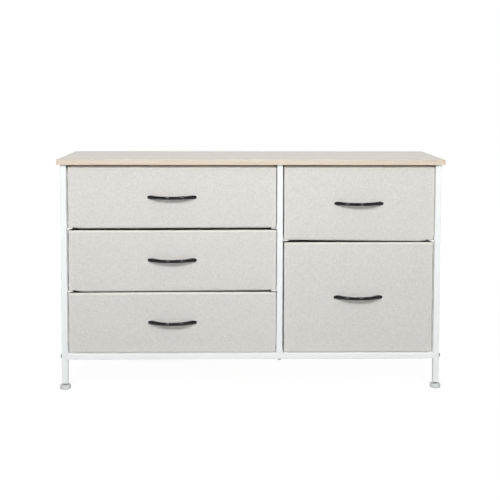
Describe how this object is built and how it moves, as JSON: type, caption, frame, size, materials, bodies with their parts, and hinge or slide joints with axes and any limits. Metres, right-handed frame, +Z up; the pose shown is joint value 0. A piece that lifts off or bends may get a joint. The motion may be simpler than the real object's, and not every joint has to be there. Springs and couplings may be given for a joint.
{
  "type": "fabric drawer dresser",
  "caption": "Low wide dresser: white square-tube frame on levelling feet, oak-look top board and light grey fabric drawers with black bow handles that slide on folded steel runners.",
  "frame": {"origin": "on the floor under the middle of the top board", "axes": "+X to the right seen from the front, +Y to the back, +Z up"},
  "size_m": [1, 0.3075, 0.6],
  "materials": {
    "oak_laminate": "pale oak laminate, satin",
    "white_powder_coat": "white powder coat, semi-gloss",
    "zinc_steel": "zinc plated",
    "white_plastic": "moulded, satin",
    "black_plastic": "gloss black",
    "linen_fabric": "light grey linen-look weave",
    "fibreboard": "raw fibreboard",
    "greyboard": "raw greyboard"
  },
  "bodies": {
    "frame": {"top_board": "oak_laminate", "left_front_post": "white_powder_coat", "left_rear_post": "white_powder_coat", "right_front_post": "white_powder_coat", "right_rear_post": "white_powder_coat", "middle_front_post": "white_powder_coat", "middle_rear_post": "white_powder_coat", "front_bottom_rail": "white_powder_coat", "rear_bottom_rail": "white_powder_coat", "rear_top_rail": "white_powder_coat", "left_top_tube": "white_powder_coat", "middle_top_tube": "white_powder_coat", "right_top_tube": "white_powder_coat", "left_bottom_tube": "white_powder_coat", "right_bottom_tube": "white_powder_coat", "left_runners": "white_powder_coat", "middle_runners": "white_powder_coat", "right_runners": "white_powder_coat", "frame_bolts": "zinc_steel", "rail_end_nuts": "zinc_steel", "top_screws": "zinc_steel", "leg_inserts": "white_plastic"},
    "left_top_drawer": {"left_top_drawer_fabric": "linen_fabric", "left_top_front_board": "fibreboard", "left_top_wall_boards": "greyboard", "left_top_bottom_board": "greyboard", "left_top_handle": "black_plastic", "left_top_handle_screws": "zinc_steel"},
    "left_middle_drawer": {"left_middle_drawer_fabric": "linen_fabric", "left_middle_front_board": "fibreboard", "left_middle_wall_boards": "greyboard", "left_middle_bottom_board": "greyboard", "left_middle_handle": "black_plastic", "left_middle_handle_screws": "zinc_steel"},
    "left_bottom_drawer": {"left_bottom_drawer_fabric": "linen_fabric", "left_bottom_front_board": "fibreboard", "left_bottom_wall_boards": "greyboard", "left_bottom_bottom_board": "greyboard", "left_bottom_handle": "black_plastic", "left_bottom_handle_screws": "zinc_steel"},
    "right_top_drawer": {"right_top_drawer_fabric": "linen_fabric", "right_top_front_board": "fibreboard", "right_top_wall_boards": "greyboard", "right_top_bottom_board": "greyboard", "right_top_handle": "black_plastic", "right_top_handle_screws": "zinc_steel"},
    "right_bottom_drawer": {"right_bottom_drawer_fabric": "linen_fabric", "right_bottom_front_board": "fibreboard", "right_bottom_wall_boards": "greyboard", "right_bottom_bottom_board": "greyboard", "right_bottom_handle": "black_plastic", "right_bottom_handle_screws": "zinc_steel"},
    "left_front_foot": {"left_front_foot_pad": "white_plastic", "left_front_foot_stud": "zinc_steel"},
    "left_rear_foot": {"left_rear_foot_pad": "white_plastic", "left_rear_foot_stud": "zinc_steel"},
    "right_front_foot": {"right_front_foot_pad": "white_plastic", "right_front_foot_stud": "zinc_steel"},
    "right_rear_foot": {"right_rear_foot_pad": "white_plastic", "right_rear_foot_stud": "zinc_steel"}
  },
  "joints": [
    {"name": "left_top_drawer_slide", "type": "slide", "parent": "frame", "child": "left_top_drawer", "axis": [0, -1, 0], "range_m": [0, 0.2]},
    {"name": "left_middle_drawer_slide", "type": "slide", "parent": "frame", "child": "left_middle_drawer", "axis": [0, -1, 0], "range_m": [0, 0.2]},
    {"name": "left_bottom_drawer_slide", "type": "slide", "parent": "frame", "child": "left_bottom_drawer", "axis": [0, -1, 0], "range_m": [0, 0.2]},
    {"name": "right_top_drawer_slide", "type": "slide", "parent": "frame", "child": "right_top_drawer", "axis": [0, -1, 0], "range_m": [0, 0.2]},
    {"name": "right_bottom_drawer_slide", "type": "slide", "parent": "frame", "child": "right_bottom_drawer", "axis": [0, -1, 0], "range_m": [0, 0.2]},
    {"name": "left_front_foot_screw", "type": "slide", "parent": "frame", "child": "left_front_foot", "axis": [0, 0, -1], "range_m": [-0.001, 0.01]},
    {"name": "left_rear_foot_screw", "type": "slide", "parent": "frame", "child": "left_rear_foot", "axis": [0, 0, -1], "range_m": [-0.001, 0.01]},
    {"name": "right_front_foot_screw", "type": "slide", "parent": "frame", "child": "right_front_foot", "axis": [0, 0, -1], "range_m": [-0.001, 0.01]},
    {"name": "right_rear_foot_screw", "type": "slide", "parent": "frame", "child": "right_rear_foot", "axis": [0, 0, -1], "range_m": [-0.001, 0.01]}
  ]
}
